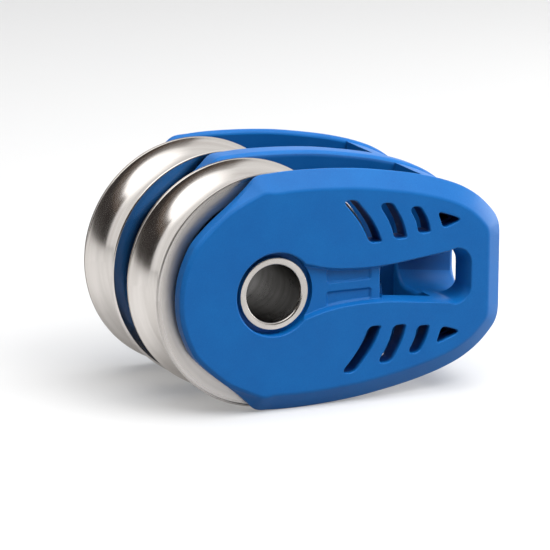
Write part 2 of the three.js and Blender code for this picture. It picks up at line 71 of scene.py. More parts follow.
class Side(Enum):
    """Which half of the block a piece belongs to."""

    FRONT = -1
    REAR = 1

    @property
    def place(self) -> str:
        """The half's name as it starts the names of its pieces."""
        return self.name.lower()


class Joining(Enum):
    """How a second solid changes the first."""

    CUT = "DIFFERENCE"
    ADD = "UNION"


# ---- curves ----


def along_spline(keys: list[Vector], steps: int, closed: bool = False) -> list[Vector]:
    """Points of a smooth curve that passes through its keys.

    Args:
        keys: The points to pass through, in two dimensions.
        steps: How many steps lie between two keys.
        closed: Whether the curve goes on from the last key to the first.

    Returns:
        The curve's points, with the last key left out on a closed curve.
    """
    count = len(keys)
    spans = count if closed else count - 1
    points = []
    for span in range(spans):
        around = [span - 1, span, span + 1, span + 2]
        picked = [i % count if closed else min(max(i, 0), count - 1) for i in around]
        before, start, end, after = (keys[i] for i in picked)
        leave = (end - before) * 0.5
        arrive = (after - start) * 0.5
        for step in range(steps):
            t = step / steps
            points.append(
                (2 * start - 2 * end + leave + arrive) * t**3
                + (3 * end - 3 * start - 2 * leave - arrive) * t**2
                + leave * t
                + start
            )
    if not closed:
        points.append(keys[-1].copy())
    return points


def inset(outline: Ring, amount: float | list[float]) -> Ring:
    """Moves a clockwise outline's points inwards along their normals.

    Args:
        outline: The outline's points, as (x, z).
        amount: How far to move them all, or how far to move each.

    Returns:
        The moved points.
    """
    moved = []
    for i, point in enumerate(outline):
        along = (outline[(i + 1) % len(outline)] - outline[i - 1]).normalized()
        distance = amount[i] if isinstance(amount, list) else amount
        moved.append(point + Vector((along.y, -along.x)) * distance)
    return moved


def mirrored(half: Ring) -> Ring:
    """Closes an upper half outline that starts and ends on the x axis with its image below."""
    below = [Vector((point.x, -point.y)) for point in reversed(half[1:-1])]
    return half + below


def rounded(corners: Ring, radii: tuple[float, ...], bow: float, steps: int = 6) -> Ring:
    """A polygon with round corners, and with every second side bowed towards +X.

    Args:
        corners: The polygon's corners.
        radii: How far from each corner its rounding starts.
        bow: How far the first and third sides bend towards +X.
        steps: How many steps a corner and a side are made of.

    Returns:
        The outline's points.
    """
    points = []
    count = len(corners)
    for i, corner in enumerate(corners):
        before, after = corners[i - 1], corners[(i + 1) % count]
        enter = corner + (before - corner).normalized() * radii[i]
        leave = corner + (after - corner).normalized() * radii[i]
        next_enter = after + (corner - after).normalized() * radii[(i + 1) % count]
        for step in range(steps):
            t = step / steps
            points.append(enter * (1 - t) ** 2 + corner * 2 * t * (1 - t) + leave * t**2)
        bend = bow if i % 2 == 0 else 0
        middle = (leave + next_enter) / 2 + Vector((bend, 0))
        for step in range(steps):
            t = step / steps
            points.append(leave * (1 - t) ** 2 + middle * 2 * t * (1 - t) + next_enter * t**2)
    return points


def turns(first: float, last: float, steps: int) -> list[float]:
    """Angles in even steps from one to another, with both ends."""
    return [first + (last - first) * step / steps for step in range(steps + 1)]


def quarter(radius: float, steps: int = 5) -> list[Pair]:
    """A quarter round as (depth below the face, step back from the edge), from the wall out.

    Args:
        radius: The rounding's radius.
        steps: How many steps it is made of.

    Returns:
        Pairs from (radius, 0) at the wall to (0, radius) at the face.
    """
    return [(radius * (1 - math.sin(a)), radius * (1 - math.cos(a))) for a in turns(0, math.pi / 2, steps)]


def lipped(face: float, radius: float, grow: float = 0) -> list[Pair]:
    """The last rows of a cutter, which round its edge off at a face.

    Args:
        face: Where the face lies along Y.
        radius: The rounding's radius.
        grow: How far the cutter has grown already.

    Returns:
        Pairs of y and how far the cutter grows there, the last one beyond the face.
    """
    return [(face - deep, grow + back) for deep, back in quarter(radius)] + [(face + OVERRUN, grow + radius)]


# ---- solids ----


def skinned(rings: list[Ring]) -> Solid:
    """A closed solid over rings of equal counts, extruded from each ring to the next.

    Args:
        rings: The rings, each a list of points in three dimensions.

    Returns:
        The solid, with its faces turned out.
    """
    bm = bmesh.new()
    order = bm.verts.layers.int.new("order")
    verts = [bm.verts.new(point) for point in rings[0]]
    for i, vert in enumerate(verts):
        vert[order] = i
    face = bm.faces.new(verts)
    passed = []
    for ring in rings[1:]:
        made = bmesh.ops.extrude_face_region(bm, geom=[face])["geom"]
        passed.append(face)
        face = next(part for part in made if isinstance(part, bmesh.types.BMFace))
        for vert in face.verts:
            vert.co = ring[vert[order]]
    bmesh.ops.delete(bm, geom=passed[1:], context="FACES_ONLY")
    bmesh.ops.recalc_face_normals(bm, faces=bm.faces)
    return bm


def pierced(outline: Ring, rows: list[Pair]) -> Solid:
    """A cutter along Y with the given outline, wider or narrower from row to row.

    Args:
        outline: The clockwise outline as (x, z).
        rows: Pairs of y and how far the outline grows there.

    Returns:
        The cutter.
    """
    return skinned([[Vector((p.x, y, p.y)) for p in inset(outline, -grow)] for y, grow in rows])


def turned(profile: list[Pair], steps: int) -> Solid:
    """A ring or tube spun about Y from a closed outline.

    Args:
        profile: The outline as (radius, y), without its first point again.
        steps: How many steps the full turn has.

    Returns:
        The spun solid, with its faces turned out.
    """
    bm = bmesh.new()
    verts = [bm.verts.new((radius, y, 0)) for radius, y in profile]
    edges = [bm.edges.new((verts[i - 1], verts[i])) for i in range(len(verts))]
    bmesh.ops.spin(
        bm, geom=verts + edges, cent=(0, 0, 0), axis=(0, 1, 0), angle=math.tau, steps=steps, use_merge=True
    )
    bmesh.ops.remove_doubles(bm, verts=bm.verts, dist=1e-5)
    bmesh.ops.recalc_face_normals(bm, faces=bm.faces)
    return bm


def drum(radius: float, rows: list[Pair], steps: int = 96) -> Solid:
    """A round cutter about Y whose radius grows from row to row.

    Args:
        radius: The plain radius.
        rows: Pairs of y and how far the radius grows there.
        steps: How many sides it has.

    Returns:
        The cutter.
    """
    angles = [-math.tau * step / steps for step in range(steps)]
    outline = [Vector((radius * math.cos(a), radius * math.sin(a))) for a in angles]
    return pierced(outline, rows)


def turn_to(bm: Solid, side: Side) -> None:
    """Turns a solid that is made for the rear half a turn about X if it belongs to the front."""
    if side is Side.FRONT:
        bmesh.ops.rotate(bm, cent=(0, 0, 0), matrix=Matrix.Rotation(math.pi, 3, "X"), verts=bm.verts)


def as_object(bm: Solid, name: str) -> SceneObject:
    """Turns a mesh in edit form into an object of the scene.

    Args:
        bm: The mesh, which is used up.
        name: The object's name.

    Returns:
        The object.
    """
    mesh = bpy.data.meshes.new(name)
    bm.to_mesh(mesh)
    bm.free()
    made = bpy.data.objects.new(name, mesh)
    bpy.context.scene.collection.objects.link(made)
    return made


class Carver:
    """A solid that others are cut from or added to, one after another."""

    def __init__(self, bm: Solid) -> None:
        """Starts from one solid, which is used up."""
        self.body = as_object(bm, "solid")
        self.others: list[SceneObject] = []

    def join(self, bm: Solid, how: Joining = Joining.CUT) -> None:
        """Cuts or adds one more solid.

        Args:
            bm: The solid, which is used up.
            how: Whether it is cut away or added.
        """
        other = as_object(bm, "solid")
        step = self.body.modifiers.new("join", "BOOLEAN")
        step.operation = how.value
        step.solver = "MANIFOLD"
        step.object = other
        self.others.append(other)

    def result(self) -> Solid:
        """The carved solid.

        Returns:
            A new mesh in edit form. The working objects are removed.
        """
        bpy.context.view_layer.update()
        depsgraph = bpy.context.evaluated_depsgraph_get()
        mesh = bpy.data.meshes.new_from_object(self.body.evaluated_get(depsgraph))
        bm = bmesh.new()
        bm.from_mesh(mesh)
        bpy.data.meshes.remove(mesh)
        for used in [self.body, *self.others]:
            data = used.data
            bpy.data.objects.remove(used)
            bpy.data.meshes.remove(data)
        return bm


def mark_inner_painted_shade(bm: Solid, furthest: float) -> bmesh.types.BMLayerItem:
    """Marks the flat faces towards a sheave for a little painted shade, darker than the moulding's outside where
    shade falls between the parts.

    Args:
        bm: The moulding, in millimetres.
        furthest: How far along Y they may lie from the block's middle.

    Returns:
        The mark's layer.
    """
    mark = bm.faces.layers.float.new(PAINTED_SHADE_MARK)
    for face in bm.faces:
        if abs(face.normal.y) > FLAT and abs(face.calc_center_median().y) < furthest:
            face[mark] = INNER_PAINTED_SHADE_SHARE
    return mark


def finished(
    bm: Solid,
    name: str,
    body: str,
    nodes: list[str],
    material: Material,
    sharp_degrees: float = 32,
) -> SceneObject:
    """Makes a solid a piece of the block, which stands for CAD nodes and rides on their body.

    Args:
        bm: The solid in millimetres, which is used up.
        name: The piece's name.
        body: The CAD body it moves with.
        nodes: The CAD nodes it stands for.
        material: Its finish.
        sharp_degrees: Edges that turn by more than this stay sharp.

    Returns:
        The piece's object, at the origin.
    """
    bmesh.ops.remove_doubles(bm, verts=bm.verts, dist=1e-4)
    bmesh.ops.scale(bm, vec=(MM, MM, MM), verts=bm.verts)
    for face in bm.faces:
        face.smooth = True
    limit = math.radians(sharp_degrees)
    for edge in bm.edges:
        if len(edge.link_faces) == 2:
            edge.smooth = edge.calc_face_angle(0) < limit
    piece = as_object(bm, name)
    piece.data.materials.append(material)
    weighted = piece.modifiers.new("weighted normals", "WEIGHTED_NORMAL")
    weighted.keep_sharp = True
    weighted.weight = 60
    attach(piece, body)
    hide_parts(*nodes)
    log.info("%s: %d faces", name, len(piece.data.polygons))
    return piece


# ---- finishes ----


class Nodes:
    """Short calls for the nodes of one tree."""

    def __init__(self, tree: bpy.types.NodeTree) -> None:
        """Takes the tree that the nodes go into."""
        self.tree = tree

    def feed(self, node: bpy.types.Node, inputs: dict) -> None:
        """Links or sets a node's inputs.

        Args:
            node: The node.
            inputs: A socket or a plain value for each input, by its name or number.
        """
        for key, value in inputs.items():
            if isinstance(value, Socket):
                self.tree.links.new(value, node.inputs[key])
            else:
                node.inputs[key].default_value = value

    def add(self, kind: str, inputs: dict | None = None, **settings: object) -> bpy.types.Node:
        """A new node.

        Args:
            kind: The node's type.
            inputs: What its inputs are linked or set to.
            settings: Its other settings.

        Returns:
            The node.
        """
        node = self.tree.nodes.new(kind)
        for setting, value in settings.items():
            setattr(node, setting, value)
        self.feed(node, inputs or {})
        return node

    def calc(self, operation: str, *values: Socket | float) -> Socket:
        """The result of an operation on one or two values."""
        return self.add("ShaderNodeMath", dict(enumerate(values)), operation=operation).outputs[0]

    def spread(self, value: Socket, start: Pair, end: Pair = (0, 1), soft: bool = False) -> Socket:
        """Carries a value over from one range to another.

        Args:
            value: The value.
            start: The range that it comes from.
            end: The range that it goes to.
            soft: Whether it starts and ends gently.

        Returns:
            A value socket.
        """
        inputs = {"Value": value, "From Min": start[0], "From Max": start[1], "To Min": end[0], "To Max": end[1]}
        kind = "SMOOTHSTEP" if soft else "LINEAR"
        return self.add("ShaderNodeMapRange", inputs, interpolation_type=kind).outputs["Result"]

    def mix(self, share: Socket | float, first: Socket, second: object, **settings: str) -> Socket:
        """Blends two values or two colours.

        Args:
            share: How much of the second one there is.
            first: The first, a socket or a plain value.
            second: The second.
            settings: The node's kind of data and way of blending.

        Returns:
            The blend's socket.
        """
        return self.add("ShaderNodeMix", {"Factor": share, "A": first, "B": second}, **settings).outputs["Result"]

    def seen(self) -> Socket:
        """One for what the camera sees, itself or in a gloss or through a clear piece, and zero otherwise.

        Returns:
            A value socket.
        """
        rays = self.add("ShaderNodeLightPath").outputs
        socket = rays["Is Camera Ray"]
        for kind in ("Is Glossy Ray", "Is Transmission Ray"):
            socket = self.calc("MAXIMUM", socket, rays[kind])
        return socket


class Finish(Nodes):
    """Short calls for the nodes of one material."""

    def __init__(self, name: str) -> None:
        """Starts a material with a Principled shader.

        Args:
            name: The material's name.
        """
        self.material = bpy.data.materials.new(name)
        self.material.use_nodes = True
        super().__init__(self.material.node_tree)

    def shade(self, inputs: dict) -> Material:
        """Links or sets the shader's inputs and gives the finished material."""
        self.feed(self.tree.nodes["Principled BSDF"], inputs)
        return self.material

    def glow(self, colour: Socket | tuple, strength: Socket | float) -> Material:
        """A material that only glows, with the given colour and strength."""
        black = {"Base Color": (0, 0, 0, 1), "Specular IOR Level": 0}
        return self.shade({**black, "Emission Color": colour, "Emission Strength": strength})

    def where(self) -> Socket:
        """The socket that gives the point's place on the object."""
        return self.add("ShaderNodeTexCoord").outputs["Object"]

    def axes(self) -> tuple[Socket, Socket, Socket]:
        """The point's x, y and z on the object."""
        return tuple(self.add("ShaderNodeSeparateXYZ", {0: self.where()}).outputs)

    def from_middle(self, start: float, end: float, soft: bool = False) -> Socket:
        """Runs from 0 to 1 between two distances in millimetres from the block's middle along Y."""
        return self.spread(self.calc("ABSOLUTE", self.axes()[1]), (start * MM, end * MM), soft=soft)

    def round_the_axle(self, angle_share: float) -> Socket:
        """Each point's radius, y and turn about Y, so that a pattern runs round the axle.

        Args:
            angle_share: How much the turn counts, in metres per radian.

        Returns:
            A vector socket.
        """
        x, y, z = self.axes()
        radius = self.calc("SQRT", self.calc("ADD", self.calc("MULTIPLY", x, x), self.calc("MULTIPLY", z, z)))
        turn = self.calc("MULTIPLY", self.calc("ARCTAN2", z, x), angle_share)
        return self.add("ShaderNodeCombineXYZ", {0: radius, 1: y, 2: turn}).outputs[0]

    def noise(self, where: Socket, grain_mm: float, detail: float = 2, roughness: float = 0.5) -> Socket:
        """Soft noise with the given grain.

        Args:
            where: The vector that it reads.
            grain_mm: The size of its patches.
            detail: How many finer layers it has.
            roughness: How strong the finer layers are.

        Returns:
            A value socket, mostly within NOISE_SPAN.
        """
        inputs = {"Vector": where, "Scale": 1 / (grain_mm * MM), "Detail": detail, "Roughness": roughness}
        return self.add("ShaderNodeTexNoise", inputs).outputs["Fac"]

    def ramp(self, value: Socket, stops: list[tuple[float, Triple]]) -> Socket:
        """A colour that changes with a value.

        Args:
            value: The value, from 0 to 1.
            stops: The value at each stop and its shade.

        Returns:
            A colour socket.
        """
        node = self.add("ShaderNodeValToRGB", {"Fac": value})
        elements = node.color_ramp.elements
        while len(elements) < len(stops):
            elements.new(0.5)
        for element, (place, shade) in zip(elements, stops):
            element.position = place
            element.color = (*shade, 1)
        return node.outputs["Color"]

    def shades(self, value: Socket, dark: Triple, light: Triple) -> Socket:
        """A colour that noise chooses between two shades."""
        return self.ramp(value, list(zip(NOISE_SPAN, (dark, light))))

    def bump(self, height: Socket, depth_mm: float, strength: float, under: Socket | None = None) -> Socket:
        """A relief of the given depth.

        Args:
            height: The value that gives the relief.
            depth_mm: How deep it is.
            strength: How much of it shows.
            under: A relief that this one lies on.

        Returns:
            A normal socket.
        """
        inputs = {"Height": height, "Strength": strength, "Distance": depth_mm * MM}
        if under is not None:
            inputs["Normal"] = under
        return self.add("ShaderNodeBump", inputs).outputs["Normal"]


@dataclass(frozen=True)
class MouldedNylon:
    """Satin moulded nylon with a fine grain from its mould, with painted shade on the marked faces."""

    dark: Triple = (0.001, 0.106, 0.375)
    light: Triple = (0.005, 0.144, 0.455)
    sheen: Pair = (0.38, 0.47)
    sheen_level: float = 0.24
    grain_mm: float = 0.16
    grain_depth_mm: float = 0.01
    grain_share: float = 0.45
    flow_mm: float = 7
    flow_depth_mm: float = 0.05
    # Painted shade: the dark navy that marked faces blend to, and the depths along Y over which it comes in.
    painted_recess_shade: Triple = (0.0008, 0.018, 0.1)
    painted_shade_span: Pair = (14.15, 13.35)

    def walls(self, nodes: Finish, colour: Socket) -> Socket:
        """The colour with painted shade, darker on the marked faces from the moulding's outside inwards.

        Args:
            nodes: The material's nodes.
            colour: The moulding's colour.

        Returns:
            A colour socket.
        """
        # Painted shade in the slots and between the cheeks and sheaves, not a colour of the nylon.
        marked = nodes.add("ShaderNodeAttribute", attribute_name=PAINTED_SHADE_MARK).outputs["Fac"]
        share = nodes.calc("MULTIPLY", nodes.from_middle(*self.painted_shade_span, soft=True), marked)
        return nodes.mix(share, colour, (*self.painted_recess_shade, 1), data_type="RGBA")

    def material(self, name: str) -> Material:
        """Makes the material.

        Args:
            name: The material's name.

        Returns:
            The material.
        """
        nodes = Finish(name)
        where = nodes.where()
        grain = nodes.noise(where, self.grain_mm, detail=3, roughness=0.6)
        flow = nodes.noise(where, self.flow_mm, detail=4, roughness=0.55)
        tone = nodes.mix(self.grain_share, flow, grain, data_type="FLOAT")
        waves = nodes.bump(flow, self.flow_depth_mm, strength=0.25)
        return nodes.shade({
            "Base Color": self.walls(nodes, nodes.shades(tone, self.dark, self.light)),
            "Roughness": nodes.spread(flow, NOISE_SPAN, self.sheen),
            "Normal": nodes.bump(grain, self.grain_depth_mm, 0.5, waves),
            "Specular IOR Level": self.sheen_level,
        })


@dataclass(frozen=True)
class TurnedSteel:
    """Steel with fine turning lines round the axle, rougher on a wheel's outer side faces, with painted shade there.
    """

    dark: Triple
    light: Triple
    gloss: Pair
    line_mm: float = 0.12
    line_depth_mm: float = 0.0014
    band_lines: float = 6
    haze_mm: float = 3
    angle_share: float = 0.0006
    # A sheave's outer side faces get more roughness, and painted shade for the narrow gap to the cheek.
    side_span: Pair | None = None
    side_roughness: float = 0.34
    side_painted_shade: float = 0.72

    def roughened_with_painted_shade(self, nodes: Finish, colour: Socket, roughness: Socket) -> tuple[Socket, Socket]:
        """Makes the side faces rougher, and darker with painted shade.

        Args:
            nodes: The material's nodes.
            colour: The colour elsewhere.
            roughness: The roughness elsewhere.

        Returns:
            The colour and the roughness everywhere.
        """
        near = nodes.from_middle(*self.side_span)
        # Painted shade: the colour is darkened where the side faces lie in the gap to the cheek.
        shade = (self.side_painted_shade, self.side_painted_shade, self.side_painted_shade, 1)
        shaded = nodes.mix(near, colour, shade, data_type="RGBA", blend_type="MULTIPLY")
        return shaded, nodes.calc("MAXIMUM", roughness, nodes.calc("MULTIPLY", near, self.side_roughness))

    def material(self, name: str) -> Material:
        """Makes the material.

        Args:
            name: The material's name.

        Returns:
            The material.
        """
        nodes = Finish(name)
        round_axle = nodes.round_the_axle(self.angle_share)
        lines = nodes.noise(round_axle, self.line_mm, detail=3, roughness=0.65)
        bands = nodes.noise(round_axle, self.line_mm * self.band_lines)
        haze = nodes.noise(nodes.where(), self.haze_mm, detail=3)
        colour = nodes.shades(bands, self.dark, self.light)
        roughness = nodes.spread(nodes.mix(0.5, lines, haze, data_type="FLOAT"), NOISE_SPAN, self.gloss)
        if self.side_span:
            colour, roughness = self.roughened_with_painted_shade(nodes, colour, roughness)
        relief = nodes.bump(lines, self.line_depth_mm, strength=0.6)
        return nodes.shade({"Base Color": colour, "Roughness": roughness, "Normal": relief, "Metallic": 1})


@dataclass(frozen=True)
class GroundSteel:
    """Ground and polished steel of the bearing parts and pins, with faint haze."""

    shade: Triple = (0.5, 0.5, 0.51)
    gloss: float = 0.14
    gloss_spread: float = 0.1
    dark_share: float = 0.88
    haze_mm: float = 0.9

    def material(self, name: str) -> Material:
        """Makes the material.

        Args:
            name: The material's name.

        Returns:
            The material.
        """
        nodes = Finish(name)
        haze = nodes.noise(nodes.where(), self.haze_mm, detail=3, roughness=0.6)
        dark = tuple(part * self.dark_share for part in self.shade)
        return nodes.shade({
            "Base Color": nodes.shades(haze, dark, self.shade),
            "Roughness": nodes.spread(haze, NOISE_SPAN, (self.gloss, self.gloss + self.gloss_spread)),
            "Normal": nodes.bump(haze, depth_mm=0.004, strength=0.2),
            "Metallic": 1,
        })


@dataclass(frozen=True)
class PlainResin:
    """Dull moulded resin of the ball cages and spacers."""

    dark: Triple
    light: Triple
    dullness: Pair = (0.5, 0.65)
    grain_mm: float = 0.2

    def material(self, name: str) -> Material:
        """Makes the material.

        Args:
            name: The material's name.

        Returns:
            The material.
        """
        nodes = Finish(name)
        grain = nodes.noise(nodes.where(), self.grain_mm, detail=3, roughness=0.6)
        return nodes.shade({
            "Base Color": nodes.shades(grain, self.dark, self.light),
            "Roughness": nodes.spread(grain, NOISE_SPAN, self.dullness),
            "Normal": nodes.bump(grain, depth_mm=0.008, strength=0.4),
        })


# ---- sizes that the pieces share ----


@dataclass(frozen=True)
class Layout:
    """Radii about the axle and places along it, as in the CAD model."""

    axle_bore: float = 3.65
    axle_radius: float = 4.15
    collar_radius: float = 4.47
    counterbore: float = 5.12
    sheave_radius: float = 14.5
    sheave_half: float = 4.65
    middle_face: float = 1.8
    sheave_middle: float = 6.9
    cheek_inner: float = 12.0
    cheek_outer: float = 14.2
    collar_recess: float = 0.6
    throat_end: float = 21.8
    head_reach: float = 30.9
    head_face: float = 29.95
    cheek_end: float = 12.55
    cheek_half: float = 14.75

    @property
    def collar_face(self) -> float:
        """Where a collar's ring face lies."""
        return self.cheek_outer - self.collar_recess


@dataclass(frozen=True)
class CheekOutline:
    """The outline that the three cheeks share, seen from the front."""

    layout: Layout = Layout()
    arc_end_angle: float = 2.54
    arc_steps: int = 5
    flare_steps: int = 5
    side_steps: int = 15
    flare_shares: tuple = ((-0.629, 0.756), (-0.421, 0.917), (-0.288, 1.038), (-0.159, 1.149))
    side_shares: tuple = (
        (0, 0.993), (0.13, 1), (0.324, 0.979), (0.482, 0.935), (0.659, 0.862), (0.793, 0.772),
        (0.867, 0.694), (0.916, 0.618), (0.955, 0.537), (0.986, 0.45), (0.998, 0.365), (1, 0.27),
    )

    @staticmethod
    def _sampled(keys: Ring, count: int) -> Ring:
        """Points at even parameter steps along a spline through the keys.

        Args:
            keys: The spline's keys.
            count: How many steps there are.

        Returns:
            The points.
        """
        points = along_spline(keys, steps=60)
        last = len(points) - 1
        return [points[round(last * i / count)] for i in range(count + 1)]

    def keys(self) -> Ring:
        """Places the outline's key points.

        Returns:
            The points, clockwise from the round end.
        """
        end = self.layout.cheek_end
        arc = turns(math.pi, self.arc_end_angle, self.arc_steps)
        *half, arc_end = [Vector((math.cos(angle), math.sin(angle))) * end for angle in arc]
        half += self._sampled([arc_end] + [Vector(share) * end for share in self.flare_shares], self.flare_steps)
        side = [
            Vector((x * self.layout.head_reach, z * self.layout.cheek_half)) for x, z in self.side_shares
        ]
        half += self._sampled(side, self.side_steps)
        half.append(Vector((self.layout.head_reach, 0)))
        return mirrored(half)


@dataclass(frozen=True)
class EdgeRow:
    """One row of a cheek's edge: its rise and inset at the round end and along the sides."""

    end_rise: float
    end_inset: float
    side_rise: float
    side_inset: float


def plate(outline: CheekOutline, rows: list[EdgeRow], inner_y: float, reach: float, steps: int = 6) -> Solid:
    """A cheek's plate, whose edge changes from the round end to the sides.

    Args:
        outline: The cheeks' outline.
        rows: The edge's rows from the inner face out.
        inner_y: Where the inner face lies.
        reach: Where the plate's flat head end lies.
        steps: How many steps lie between two key points.

    Returns:
        The plate.
    """
    keys = outline.keys()
    first, last = BLEND_SPAN
    shares = [min(max((key.x - first) / (last - first), 0), 1) for key in keys]
    shares = [share * share * (3 - 2 * share) for share in shares]
    rings = []
    for row in rows:
        insets = [row.end_inset * (1 - s) + row.side_inset * s for s in shares]
        rises = [row.end_rise * (1 - s) + row.side_rise * s for s in shares]
        moved = inset(keys, insets)
        flat = along_spline(moved, steps, closed=True)
        high = along_spline([Vector((rise, 0)) for rise in rises], steps, closed=True)
        head = reach - row.side_inset
        rings.append([Vector((min(p.x, head), inner_y + h.x, p.y)) for p, h in zip(flat, high)])
    return skinned(rings)


def same_rows(pairs: list[Pair]) -> list[EdgeRow]:
    """Rows that are alike at the round end and along the sides."""
    return [EdgeRow(rise, back, rise, back) for rise, back in pairs]


# ---- the cheeks ----


@dataclass(frozen=True)
class HeadPins:
    """The holes of the two pins that locate the cheeks on each other at the head."""

    radius: float = 0.9
    x: float = 27.3
    z: float = 5.9
    end: float = 13.1
    sides: int = 24

    def hole(self, up: int, low: float, high: float) -> Solid:
        """The cutter of one hole.

        Args:
            up: 1 for the upper hole and -1 for the lower one.
            low: Where it starts along Y.
            high: Where it ends.

        Returns:
            The cutter.
        """
        hole = drum(self.radius, [(low, 0), (high, 0)], self.sides)
        bmesh.ops.translate(hole, vec=(self.x, 0, self.z * up), verts=hole.verts)
        return hole


@dataclass
class OuterCheek:
    """A moulded outer cheek in one with its half of the head."""

    side: Side
    layout: Layout = Layout()
    pins: HeadPins = HeadPins()
    edge_round: float = 0.6
    head_inset: float = 0.35
    window_start: float = 14.3
    window_start_round: float = 0.35
    window_end: float = 26.1
    window_half: float = 3.3
    window_corner: float = 1.9
    channel_start: float = 3.62
    channel_depth: float = 0.8
    channel_mouth: float = 3.3
    channel_half: float = 2.01
    channel_draft: float = 0.25
    path_gap: float = 0.02
    window_draft: float = 0.1
    window_straight: float = 1.8
    window_rise: float = 0.02
    window_wider: float = 0.004
    window_lip_round: float = 0.3
    window_lip_clear: float = 0.12
    floor_round: float = 0.2
    lip_round: float = 0.18
    panel_start: float = 7.12
    panel_end: float = 13.0
    panel_margin: float = 0.12
    panel_depth: float = 0.36
    panel_edge: float = 0.22
    panel_corner: float = 0.15
    panel_over: float = 0.1
    rib_half: float = 0.6
    tunnel_inner: float = 2.5
    tunnel_outer: float = 10.5
    tunnel_entry: float = 3.3
    tunnel_exit: float = 4.1
    tunnel_corner: float = 2.9
    tunnel_flare: float = 0.8
    tunnel_round: float = 0.4
    tunnel_flat: float = 0.02
    tunnel_steps: int = 7
    slot_width: float = 1.8
    slot_end: float = 0.78
    slot_corner: float = 0.55
    slot_bow: float = 0.65
    slot_lip: float = 0.16
    slot_draft: float = 0.22
    head_seam: float = 0.02
    notch_radii: tuple = (0.7, 1.3, 0.7)
    notch_length: float = 3.7
    notch_step: float = 0.35
    notch_share: float = 0.65
    notch_floor: float = 7.5
    counterbore_round: float = 0.25
    counterbore_sides: int = 128
    below_collar: float = 1
    # Where the painted shade in the slots and notches reaches.
    painted_shade_reach: float = 0.02
    painted_shade_from_back: float = 0.05
    painted_shade_from_face: float = 0.005
    painted_shade_tilt: float = 0.7

    bevel_rows: tuple = (
        (0.8, 0, 0.63, 0.003), (1.0, 0, 0.68, 0.02), (1.25, 0, 0.74, 0.06), (1.5, 0, 0.82, 0.14),
        (1.78, 0, 2.05, 1.98), (1.86, 0.015, 2.09, 2.05), (1.93, 0.075, 2.13, 2.14),
        (2.1, 0.34, 2.165, 2.24), (2.17, 0.45, 2.19, 2.35), (2.2, 0.6, 2.2, 2.48),
    )
    channel_shares: tuple = ((0, 1), (0.27, 0.76), (0.52, 0.648))
    channel_waist: float = 0.78
    window_shares: tuple = ((0, 0.624), (0.153, 0.664), (0.42, 0.773), (0.78, 0.927))
    slot_shares: tuple = (
        ((0.447, 0.729, 1.02), (0.613, 0.354, 0.93), 1),
        ((0.671, 0.677, 1.03), (0.767, 0.366, 0.945), 0.65),
        ((0.852, 0.623, 0.89), (0.915, 0.393, 0.93), 0.45),
    )
    notch_shares: tuple = ((-0.055, 0.565), (0.92, 0.478), (0.155, 0.415))

    def edge_rows(self) -> list[EdgeRow]:
        """The edge from the inner face out: a round, a wall, then a wide bevel with a soft crest."""
        return same_rows(quarter(self.edge_round)[::-1]) + [EdgeRow(*row) for row in self.bevel_rows]

    @property
    def channel_floor(self) -> float:
        """Where the channel's floor lies along Y."""
        return self.layout.cheek_outer - self.channel_depth

    def path_edge(self) -> Ring:
        """Draws the upper edge of the channel and window.

        Returns:
            The edge's points, from the axle to the window's round corner.
        """
        length = self.window_start - self.channel_start
        keys = [
            Vector((self.channel_start + along * length, up * self.channel_mouth))
            for along, up in self.channel_shares
        ]
        keys.append(Vector((self.channel_start + self.channel_waist * length, self.channel_half)))
        span = self.window_end - self.window_start
        keys += [
            Vector((self.window_start + along * span, up * self.window_half)) for along, up in self.window_shares
        ]
        corner = quarter(self.window_corner, steps=12)[::-1]
        return along_spline(keys, steps=10) + [
            Vector((self.window_end - back, self.window_half - deep)) for deep, back in corner
        ]

    def path_outline(self, start: float, turn: float) -> Ring:
        """The channel and window seen from the front, from a given place on.

        Args:
            start: Where the outline starts along X.
            turn: Radius of the two corners there.

        Returns:
            The outline, clockwise.
        """
        edge = [point for point in self.path_edge() if point.x > start + turn + self.path_gap]
        top = edge[0].y
        half = [Vector((start, 0))]
        corner = quarter(turn)[::-1] if turn else [(0, 0)]
        half += [Vector((start + turn - back, top - deep)) for deep, back in corner]
        return mirrored([*half, *edge, Vector((self.window_end, 0))])

    def window(self) -> Solid:
        """Makes the cutter of the window.

        Returns:
            The cutter, from the channel's floor in to the tunnel.
        """
        narrow = -self.window_draft
        rows = [
            (self.tunnel_outer - self.tunnel_corner, narrow),
            (self.layout.cheek_outer - self.window_straight, narrow),
            (self.channel_floor + self.floor_round + self.window_rise, self.window_wider),
        ]
        return pierced(self.path_outline(self.window_start, self.window_start_round), rows)

    def channel(self) -> Solid:
        """Makes the cutter of the channel, which runs on round the window.

        Returns:
            The cutter, with a round floor and slanted walls.
        """
        rows = [(self.channel_floor + back, -deep) for deep, back in quarter(self.floor_round)]
        at_lip = self.channel_draft * (1 - self.lip_round / self.channel_depth)
        rows += lipped(self.layout.cheek_outer, self.lip_round, at_lip)
        return pierced(self.path_outline(self.channel_start, 0), rows)

    def window_lip(self) -> Solid:
        """Makes the cutter that rounds the edge where the channel's floor falls into the window.

        Returns:
            The cutter.
        """
        floor, start, turn = self.channel_floor, self.window_start, self.window_lip_round
        outline = [(start - deep, floor - back) for deep, back in quarter(turn, steps=6)]
        outline += [
            (start + OVERRUN, floor - turn), (start + OVERRUN, floor + turn / 2), (start - turn, floor + turn / 2)
        ]
        reach = self.channel_half - self.window_lip_clear
        return skinned([[Vector((x, y, z)) for x, y in outline] for z in (-reach, reach)])

